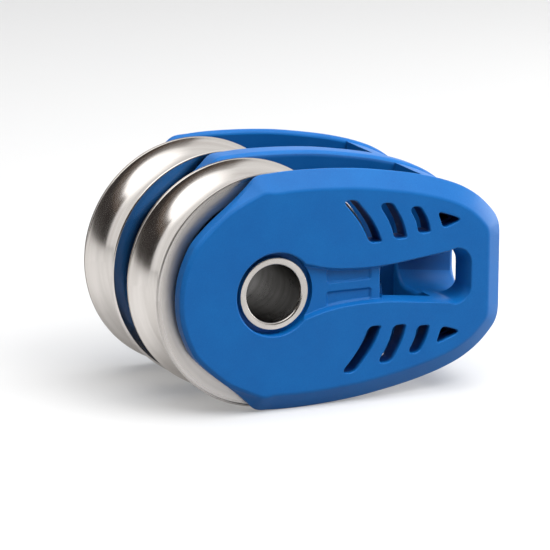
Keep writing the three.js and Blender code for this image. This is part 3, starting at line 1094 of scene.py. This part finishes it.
    def panel(self, up: int) -> Solid:
        """Makes the cutter of one of the sunk panels in the channel's floor.

        Args:
            up: 1 for the panel above the rib and -1 for the one below it.

        Returns:
            The cutter.
        """
        floor = self.channel_floor
        low, high, turn = self.rib_half, self.panel_margin, self.panel_corner
        edge = [point for point in self.path_edge() if self.panel_start + turn < point.x < self.panel_end - turn]
        ring = [Vector((self.panel_start, low + turn)), Vector((self.panel_start, edge[0].y - high - turn))]
        ring += [Vector((point.x, point.y - high)) for point in edge]
        ring += [Vector((self.panel_end, edge[-1].y - high - turn)), Vector((self.panel_end, low + turn))]
        ring += [Vector((self.panel_end - turn, low)), Vector((self.panel_start + turn, low))]
        outline = self._clockwise([Vector((point.x, point.y * up)) for point in ring])
        soft = self.panel_edge
        rows = [(floor - self.panel_depth, -soft), (floor - self.panel_depth + soft / 3, -soft / 3)]
        rows += [(floor - soft / 3, soft / 3), (floor, soft), (floor + self.panel_over, soft + self.panel_over)]
        return pierced(outline, rows)

    def tunnel(self) -> Solid:
        """Makes the cutter of the tunnel through the head.

        Returns:
            The cutter, flared at the tunnel's mouth.
        """
        start, end, turn, flare = self.layout.throat_end, self.layout.head_face, self.tunnel_round, self.tunnel_flare
        entry, way_out = self.tunnel_entry, self.tunnel_exit
        places = [(start - OVERRUN, entry, OVERRUN)]
        places += [(start + deep, entry, back) for deep, back in reversed(quarter(turn))]
        for share in (step / self.tunnel_steps for step in range(1, self.tunnel_steps)):
            places.append((start + turn + (end - flare - start - turn) * share, entry + (way_out - entry) * share, 0))
        places += [(end - deep, way_out, back) for deep, back in quarter(flare, steps=8)]
        places.append((end + OVERRUN, way_out, flare))
        return skinned([self._tunnel_section(*place) for place in places])

    def _tunnel_section(self, x: float, half: float, grow: float) -> Ring:
        """Draws the tunnel's rounded section at one place.

        Args:
            x: The place along X.
            half: Half the tunnel's height there.
            grow: How far the section grows all round.

        Returns:
            The section's points.
        """
        low, high, top = self.tunnel_inner - grow, self.tunnel_outer + grow, half + grow
        turn = min(self.tunnel_corner, top - self.tunnel_flat)
        ring = []
        for y, z, quadrant in (
            (high - turn, top - turn, 0), (low + turn, top - turn, 1),
            (low + turn, turn - top, 2), (high - turn, turn - top, 3),
        ):
            for angle in turns(math.pi / 2 * quadrant, math.pi / 2 * (quadrant + 1), steps=8):
                ring.append(Vector((x, y + turn * math.cos(angle), z + turn * math.sin(angle))))
        return ring

    def slot_outlines(self, up: int) -> list[Ring]:
        """Draws three slots and a notch as seen from the front.

        Args:
            up: 1 for those above the axle line and -1 for those below it.

        Returns:
            Their outlines, with the notch last.
        """
        throat, half = self.layout.throat_end, self.layout.cheek_half
        radii = (self.slot_end, self.slot_corner, self.slot_corner, self.slot_end)
        outlines = []
        for outer, inner, bow in self.slot_shares:
            corners = [
                Vector((share[0] * throat + edge * share[2] * self.slot_width / 2, share[1] * half * up))
                for share, edge in ((outer, 1), (inner, 1), (inner, -1), (outer, -1))
            ]
            outlines.append(self._clockwise(rounded(corners, radii, bow * self.slot_bow)))
        corners = [
            Vector((throat + along * self.notch_length, share * half * up)) for along, share in self.notch_shares
        ]
        outlines.append(self._clockwise(rounded(corners, self.notch_radii, 0)))
        return outlines

    def slots(self, up: int) -> list[Solid]:
        """Makes the cutters of three slots and a notch.

        Args:
            up: 1 for those above the axle line and -1 for those below it.

        Returns:
            The cutters, of which the notch has two.
        """
        face, back = self.layout.cheek_outer, self.layout.cheek_inner
        lips = lipped(face, self.slot_lip)
        narrow = -self.slot_draft
        *slots, notch = self.slot_outlines(up)
        cutters = [pierced(outline, [(back - OVERRUN, narrow), (back, narrow), *lips]) for outline in slots]
        cutters.append(pierced(notch, [(back + self.notch_step, 0), *lips]))
        middle = sum(notch, Vector((0, 0))) / len(notch)
        deep = [middle.lerp(point, self.notch_share) for point in notch]
        cutters.append(pierced(deep, [(face - self.notch_floor, 0), (back + self.notch_step + OVERRUN, 0)]))
        return cutters

    def mark_slot_painted_shade(self, bm: Solid) -> None:
        """Marks the faces inside the slots and notches for painted shade, darker than the moulding's outside.

        Args:
            bm: The cheek at the rear, in millimetres.
        """
        mark = mark_inner_painted_shade(bm, self.layout.cheek_inner + HAIR)
        low_y, high_y = self.layout.cheek_inner + self.painted_shade_from_back, self.layout.cheek_outer - self.painted_shade_from_face
        reach = Vector((1, 1)) * (self.slot_lip + self.painted_shade_reach)
        boxes = [
            (Vector(map(min, *outline)) - reach, Vector(map(max, *outline)) + reach)
            for up in (1, -1) for outline in self.slot_outlines(up)
        ]
        for face in bm.faces:
            x, y, z = face.calc_center_median()
            if low_y < y < high_y or abs(face.normal.y) < self.painted_shade_tilt:
                if any(low.x < x < high.x and low.y < z < high.y for low, high in boxes):
                    face[mark] = 1

    @staticmethod
    def _clockwise(outline: Ring) -> Ring:
        """Puts an outline in clockwise order and drops points that touch.

        Args:
            outline: The outline's points, in either order.

        Returns:
            The points that are kept.
        """
        kept = [p for i, p in enumerate(outline) if (p - outline[i - 1]).length > HAIR]
        area = sum(kept[i - 1].x * p.y - p.x * kept[i - 1].y for i, p in enumerate(kept))
        return kept if area < 0 else kept[::-1]

    def head(self) -> Solid:
        """Makes the half of the head.

        Returns:
            The solid, from the middle cheek to inside the plate.
        """
        keys = inset(CheekOutline(self.layout).keys(), self.head_inset)
        outline = along_spline(keys, steps=6, closed=True)
        reach = self.layout.head_face
        low, high = self.layout.middle_face + self.head_seam, self.layout.cheek_inner + OVERRUN
        bm = skinned([[Vector((min(p.x, reach), y, p.y)) for p in outline] for y in (low, high)])
        made = bmesh.ops.bisect_plane(
            bm,
            geom=[*bm.verts, *bm.edges, *bm.faces],
            plane_co=(self.layout.throat_end, 0, 0),
            plane_no=(-1, 0, 0),
            clear_outer=True,
        )
        cut = [part for part in made["geom_cut"] if isinstance(part, bmesh.types.BMEdge)]
        bmesh.ops.edgeloop_fill(bm, edges=cut)
        bmesh.ops.recalc_face_normals(bm, faces=bm.faces)
        return bm

    def build(self, material: Material) -> SceneObject:
        """Builds the cheek and turns it to its side.

        Args:
            material: The moulding's finish.

        Returns:
            The cheek's object.
        """
        face, inner = self.layout.cheek_outer, self.layout.cheek_inner
        carver = Carver(plate(CheekOutline(self.layout), self.edge_rows(), inner, self.layout.head_reach))
        carver.join(self.head(), Joining.ADD)
        counterbore = [(self.layout.collar_face - self.below_collar, 0), *lipped(face, self.counterbore_round)]
        cutters = [
            self.tunnel(), self.window(), self.channel(), self.window_lip(),
            drum(self.layout.axle_radius + FIT, [(inner - OVERRUN, 0), (face, 0)]),
            drum(self.layout.counterbore, counterbore, self.counterbore_sides),
        ]
        for up in (1, -1):
            cutters += [self.panel(up), *self.slots(up), self.pins.hole(up, self.layout.middle_face, self.pins.end)]
        for cutter in cutters:
            carver.join(cutter)
        bm = carver.result()
        # Painted shade on the slot walls and on the faces towards the sheave.
        self.mark_slot_painted_shade(bm)
        turn_to(bm, self.side)
        name = f"{self.side.place}_cheek"
        return finished(bm, f"{name}_moulding", "root", [name], material)


@dataclass
class MiddleCheek:
    """The moulded plate between the two sheaves."""

    layout: Layout = Layout()
    pins: HeadPins = HeadPins()
    edge_round: float = 0.8

    def build(self, material: Material) -> SceneObject:
        """Builds the plate.

        Args:
            material: The moulding's finish.

        Returns:
            The plate's object.
        """
        half = self.layout.middle_face
        pairs = quarter(self.edge_round, steps=6)[::-1]
        pairs += [(2 * half - deep, back) for deep, back in reversed(pairs)]
        carver = Carver(plate(CheekOutline(self.layout), same_rows(pairs), -half, self.layout.head_face))
        carver.join(drum(self.layout.axle_radius + FIT, [(-half - OVERRUN, 0), (half + OVERRUN, 0)]))
        for up in (1, -1):
            carver.join(self.pins.hole(up, -half - OVERRUN, half + OVERRUN))
        bm = carver.result()
        # Painted shade on the middle cheek's faces between the sheaves.
        mark_inner_painted_shade(bm, half + HAIR)
        return finished(bm, "middle_cheek_moulding", "root", ["middle_cheek"], material)


# ---- steel parts ----


@dataclass
class Sheave:
    """A turned sheave with its wide round groove."""

    side: Side
    layout: Layout = Layout()
    groove_depth: float = 2.9
    land: float = 0.55
    edge_round: float = 0.22
    lip_round: float = 0.12
    face_height: float = 2.3
    inner_fall: float = 0.3
    recess: float = 0.8
    seat: float = 9.6
    stop: float = 8.9
    race_end: float = 3.1
    clip_groove: float = 0.5
    clip_end: float = 3.8
    lip_steps: int = 5
    lip_overlap: float = 0.6
    groove_steps: int = 44
    steps: int = 200

    def side_face(self, fall: float) -> list[Pair]:
        """A side face as (radius, y), from the sunk web out to its rim.

        Args:
            fall: How far the face slopes down towards the web.

        Returns:
            The points.
        """
        end = self.layout.sheave_radius - self.face_height
        half = self.layout.sheave_half
        return [(end - self.recess + fall, half - self.recess), (end, half - fall)]

    def profile(self) -> list[Pair]:
        """Draws the sheave's section.

        Returns:
            Its points as (radius, y), about the sheave's own middle.
        """
        rim, half = self.layout.sheave_radius, self.layout.sheave_half
        web = half - self.recess
        groove_half = half - self.land
        radius = (groove_half**2 + self.groove_depth**2) / (2 * self.groove_depth)
        centre = rim - self.groove_depth + radius
        reach = math.asin(groove_half / radius)
        points = [(self.seat, web), *self.side_face(0)]
        points += [(rim - deep, half - back) for back, deep in quarter(self.edge_round)]
        groove = [
            (centre - radius * math.cos(a), radius * math.sin(a)) for a in turns(reach, -reach, self.groove_steps)
        ]
        lip, wide = self.lip_round, groove_half + self.lip_round * self.lip_overlap
        near_lip = [
            (rim - lip * (1 - math.sin(a)), wide - lip * math.cos(a))
            for a in turns(math.pi / 2, math.pi / 2 - reach, self.lip_steps)
        ]
        points += near_lip + groove[1:-1] + [(r, -y) for r, y in reversed(near_lip)]
        points += [(rim - deep, back - half) for back, deep in reversed(quarter(self.edge_round))]
        points += [(r, -y) for r, y in reversed(self.side_face(self.inner_fall))]
        points += [
            (self.stop, -web), (self.stop, -self.race_end), (self.seat, -self.race_end), (self.seat, self.race_end),
            (self.seat + self.clip_groove, self.race_end), (self.seat + self.clip_groove, self.clip_end),
            (self.seat, self.clip_end),
        ]
        return points

    def build(self, material: Material) -> SceneObject:
        """Spins the sheave and puts it at its place on the axle.

        Args:
            material: The turned steel.

        Returns:
            The sheave's object.
        """
        bm = turned(self.profile(), self.steps)
        turn_to(bm, self.side)
        bmesh.ops.translate(bm, vec=(0, self.side.value * self.layout.sheave_middle, 0), verts=bm.verts)
        name = f"{self.side.place}_sheave"
        return finished(bm, f"{name}_turned", f"{name}_set", [name], material, sharp_degrees=40)


@dataclass
class Axle:
    """The hollow axle and the collar that caps each of its ends."""

    layout: Layout = Layout()
    lip_bore: float = 3.55
    lip_edge: float = 0.32
    lip: float = 0.6
    grip: float = 0.3
    edge_round: float = 0.12
    bore_edge: float = 0.1
    bore_break: float = 0.03
    lip_back: float = 0.04
    steps: int = 144

    @property
    def tube_end(self) -> float:
        """Where the tube ends inside its collar."""
        return self.layout.collar_face - self.lip - FIT

    def tube(self, material: Material) -> SceneObject:
        """Builds the tube.

        Args:
            material: The axle's steel.

        Returns:
            The tube's object.
        """
        bore, outside, end = self.layout.axle_bore, self.layout.axle_radius, self.tube_end
        edge, small = self.bore_edge, self.bore_break
        half = [(bore, end - edge), (bore + small, end - small), (bore + edge, end), (outside, end)]
        points = [(radius, -y) for radius, y in half] + half[::-1]
        return finished(turned(points, self.steps), "axle_tube_turned", "root", ["axle_tube"], material)

    def collar(self, side: Side, material: Material) -> SceneObject:
        """Builds one collar.

        Args:
            side: The end of the axle that it caps.
            material: The axle's steel.

        Returns:
            The collar's object.
        """
        face, outside = self.layout.collar_face, self.layout.collar_radius
        seat = self.layout.axle_radius + FIT
        step = face - self.lip
        points = [(seat, step - self.grip), (outside, step - self.grip)]
        points += [(outside - back, face - deep) for deep, back in quarter(self.edge_round)]
        points += [(self.lip_bore + back, face - deep) for deep, back in reversed(quarter(self.lip_edge, steps=6))]
        points += [(self.lip_bore, step + self.lip_back), (self.lip_bore + self.bore_break, step), (seat, step)]
        bm = turned(points, self.steps)
        turn_to(bm, side)
        name = f"{side.place}_axle_collar"
        return finished(bm, f"{name}_turned", "root", [name], material)


@dataclass
class HiddenParts:
    """The bearings, spacers and head pins, which stay as the CAD model has them."""

    finishes: dict[str, Material]

    def dress(self) -> int:
        """Gives each of these nodes its finish.

        Returns:
            How many nodes were dressed.
        """
        count = 0
        for name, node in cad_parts.items():
            finish = next((self.finishes[word] for word in self.finishes if word in name), None)
            if finish is None or node.hide_render:
                continue
            for slot in node.material_slots:
                slot.material = finish
            count += 1
        return count


# ---- studio ----


@dataclass(frozen=True)
class Lamp:
    """A soft square lamp, with its size and place in millimetres and its power in watts."""

    name: str
    place: Triple
    size: float
    power: float
    in_gloss: bool = False

    def hang(self, aim: Vector) -> None:
        """Adds the lamp to the scene.

        Args:
            aim: The point that it faces, in millimetres.
        """
        data = bpy.data.lights.new(self.name, "AREA")
        data.shape = "SQUARE"
        data.size = self.size * MM
        data.energy = self.power
        made = bpy.data.objects.new(self.name, data)
        made.location = Vector(self.place) * MM
        made.rotation_euler = (aim - Vector(self.place)).to_track_quat("-Z", "Y").to_euler()
        bpy.context.scene.collection.objects.link(made)
        made.visible_camera = False
        made.visible_glossy = self.in_gloss


@dataclass
class Studio:
    """Pale floor, soft lamps, a dark wall and a soft box seen in the gloss, and the camera."""

    floor_z: float = -14.75
    floor_half: float = 1600
    floor_shade: float = 0.56
    floor_tint: Triple = (0.995, 0.995, 1)
    floor_glow: float = 0.25
    floor_bounce: float = 0.3
    room_light: float = 0.13
    aim: Triple = (8, 0, 0)
    lamps: tuple = (
        Lamp("top lamp", (40, -70, 380), 560, 2.9),
        Lamp("key lamp", (150, -260, 270), 260, 0.88),
        Lamp("right lamp", (340, 20, 62), 150, 0.57, in_gloss=True),
    )
    box_place: Triple = (-130, -120, 330)
    box_radius: float = 330
    box_bright_share: float = 0.35
    box_shine: float = 2.2
    wall_radius: float = 300
    wall_turns: Pair = (187, 300)
    wall_shades: tuple = (
        (-14, (0.95, 0.95, 0.95)), (-7, (0.6, 0.59, 0.58)), (4, (0.09, 0.08, 0.07)), (20, (0.035, 0.03, 0.027)),
        (150, (0.03, 0.026, 0.024)),
        (188, (0.15, 0.105, 0.075)), (220, (0.12, 0.1, 0.09)), (300, (0.4, 0.385, 0.37)), (520, (0.85, 0.84, 0.83)),
    )
    camera_place: Triple = (-203.96, -455.25, 121.34)
    camera_forward: Triple = (0.40736, 0.88182, -0.23760)
    camera_roll: float = 0.34
    lens: float = 273.2

    @staticmethod
    def _stand(bm: Solid, material: Material, name: str, seen: bool) -> None:
        """Makes a mesh a part of the stage.

        Args:
            bm: The mesh in millimetres, which is used up.
            material: Its finish.
            name: Its name.
            seen: Whether it shows and casts shadow and light, and not only in gloss.
        """
        bmesh.ops.scale(bm, vec=(MM, MM, MM), verts=bm.verts)
        made = as_object(bm, name)
        made.data.materials.append(material)
        made.visible_camera = made.visible_diffuse = made.visible_shadow = seen

    def floor(self) -> None:
        """Lays the white floor."""
        bm = bmesh.new()
        bmesh.ops.create_grid(bm, x_segments=1, y_segments=1, size=self.floor_half)
        bmesh.ops.translate(bm, vec=(0, 0, self.floor_z), verts=bm.verts)
        nodes = Finish("floor_white")
        seen = nodes.seen()
        grain = nodes.noise(nodes.where(), grain_mm=40)
        pale = tuple(self.floor_shade * part for part in self.floor_tint)
        tint = nodes.shades(grain, pale, (self.floor_shade,) * 3)
        bounce = (self.floor_bounce, self.floor_bounce, self.floor_bounce, 1)
        material = nodes.shade({
            "Base Color": nodes.mix(seen, bounce, tint, data_type="RGBA"),
            "Emission Color": (1, 1, 1, 1),
            "Emission Strength": nodes.spread(seen, (0, 1), (0, self.floor_glow)),
            "Roughness": 0.8,
            "Specular IOR Level": 0.1,
        })
        self._stand(bm, material, "floor", seen=True)

    def dark_wall(self) -> None:
        """Bends a wall in front and to the left that shows only in the steel, as the dark side of a studio."""
        low, high = self.wall_shades[0][0], self.wall_shades[-1][0]
        bm = bmesh.new()
        verts = [bm.verts.new((self.wall_radius, 0, z)) for z in (low, high)]
        edge = bm.edges.new(verts)
        first, last = (math.radians(turn) for turn in self.wall_turns)
        bmesh.ops.rotate(bm, cent=(0, 0, 0), matrix=Matrix.Rotation(first, 3, "Z"), verts=verts)
        bmesh.ops.spin(bm, geom=[*verts, edge], cent=(0, 0, 0), axis=(0, 0, 1), angle=last - first, steps=32)
        nodes = Finish("dark_wall_paint")
        height = nodes.spread(nodes.axes()[2], (low * MM, high * MM))
        colour = nodes.ramp(height, [((z - low) / (high - low), shade) for z, shade in self.wall_shades])
        self._stand(bm, nodes.glow(colour, 1), "dark_wall", seen=False)

    def soft_box(self) -> None:
        """Hangs a round white box up on the left that shows only in gloss and fades into the white room."""
        bm = bmesh.new()
        bmesh.ops.create_circle(bm, cap_ends=True, segments=64, radius=self.box_radius)
        facing = Vector(self.box_place).to_track_quat("Z", "Y").to_matrix()
        bmesh.ops.rotate(bm, cent=(0, 0, 0), matrix=facing, verts=bm.verts)
        bmesh.ops.translate(bm, vec=self.box_place, verts=bm.verts)
        nodes = Finish("soft_box_cloth")
        middle = Vector(self.box_place) * MM
        away = nodes.add("ShaderNodeVectorMath", {0: nodes.where(), 1: middle}, operation="DISTANCE")
        fade = (self.box_radius * self.box_bright_share * MM, self.box_radius * MM)
        shine = nodes.spread(away.outputs["Value"], fade, (self.box_shine, 1), soft=True)
        self._stand(bm, nodes.glow((1, 1, 1, 1), shine), "soft_box", seen=False)

    def world(self) -> None:
        """Makes white surroundings, seen at full white, that light the block at a lower level."""
        world = bpy.data.worlds.new("white room")
        bpy.context.scene.world = world
        world.use_nodes = True
        nodes = Nodes(world.node_tree)
        strength = nodes.spread(nodes.seen(), (0, 1), (self.room_light, 1))
        nodes.feed(world.node_tree.nodes["Background"], {"Color": (1, 1, 1, 1), "Strength": strength})

    def camera(self) -> None:
        """Sets the camera at the photograph's angle."""
        data = bpy.data.cameras.new("camera")
        data.lens = self.lens
        data.sensor_width = 36
        data.clip_start = 0.01
        made = bpy.data.objects.new("camera", data)
        made.location = Vector(self.camera_place) * MM
        look = Vector(self.camera_forward).to_track_quat("-Z", "Y")
        made.rotation_euler = (look.to_matrix() @ Matrix.Rotation(math.radians(self.camera_roll), 3, "Z")).to_euler()
        bpy.context.scene.collection.objects.link(made)
        bpy.context.scene.camera = made

    def build(self) -> None:
        """Sets the whole studio up."""
        self.floor()
        self.world()
        for lamp in self.lamps:
            lamp.hang(Vector(self.aim))
        self.dark_wall()
        self.soft_box()
        self.camera()
        bpy.context.scene.view_settings.view_transform = "Standard"


def main() -> None:
    """Builds the block piece by piece and sets up the studio."""
    logging.basicConfig(level=logging.INFO, format="%(name)s %(message)s")
    nylon = MouldedNylon().material("blue_nylon")
    sheave_steel = TurnedSteel(
        dark=(0.57, 0.535, 0.505), light=(0.68, 0.645, 0.615), gloss=(0.14, 0.22), side_span=(11.15, 11.45)
    ).material("sheave_steel")
    axle_steel = TurnedSteel(
        dark=(0.44, 0.415, 0.39), light=(0.54, 0.51, 0.48), gloss=(0.2, 0.3), line_mm=0.15, line_depth_mm=0.003
    ).material("axle_steel")
    # Painted shade: a darker copy of the axle steel for the tube, standing in for the shade inside its bore.
    bore_steel_painted_shade = TurnedSteel(
        dark=(0.16, 0.155, 0.15), light=(0.23, 0.225, 0.22), gloss=(0.24, 0.36), line_mm=0.15, line_depth_mm=0.003
    ).material("bore_steel_painted_shade")
    ground = GroundSteel().material("ground_steel")
    bright = GroundSteel(shade=(0.6, 0.6, 0.61), gloss=0.06).material("ball_steel")
    cage = PlainResin(dark=(0.012, 0.01, 0.009), light=(0.022, 0.019, 0.017)).material("cage_resin")
    spacer = PlainResin(dark=(0.72, 0.7, 0.64), light=(0.8, 0.78, 0.72)).material("spacer_resin")
    for side in Side:
        OuterCheek(side).build(nylon)
        Sheave(side).build(sheave_steel)
        Axle().collar(side, axle_steel)
    MiddleCheek().build(nylon)
    Axle().tube(bore_steel_painted_shade)
    hidden = HiddenParts({
        "ball_cage": cage, "_ball_": bright, "race": ground, "shield": ground, "clip": ground,
        "spacer": spacer, "head_pin": ground,
    })
    log.info("dressed %d hidden nodes", hidden.dress())
    Studio().build()


if __name__ == "__main__":
    main()
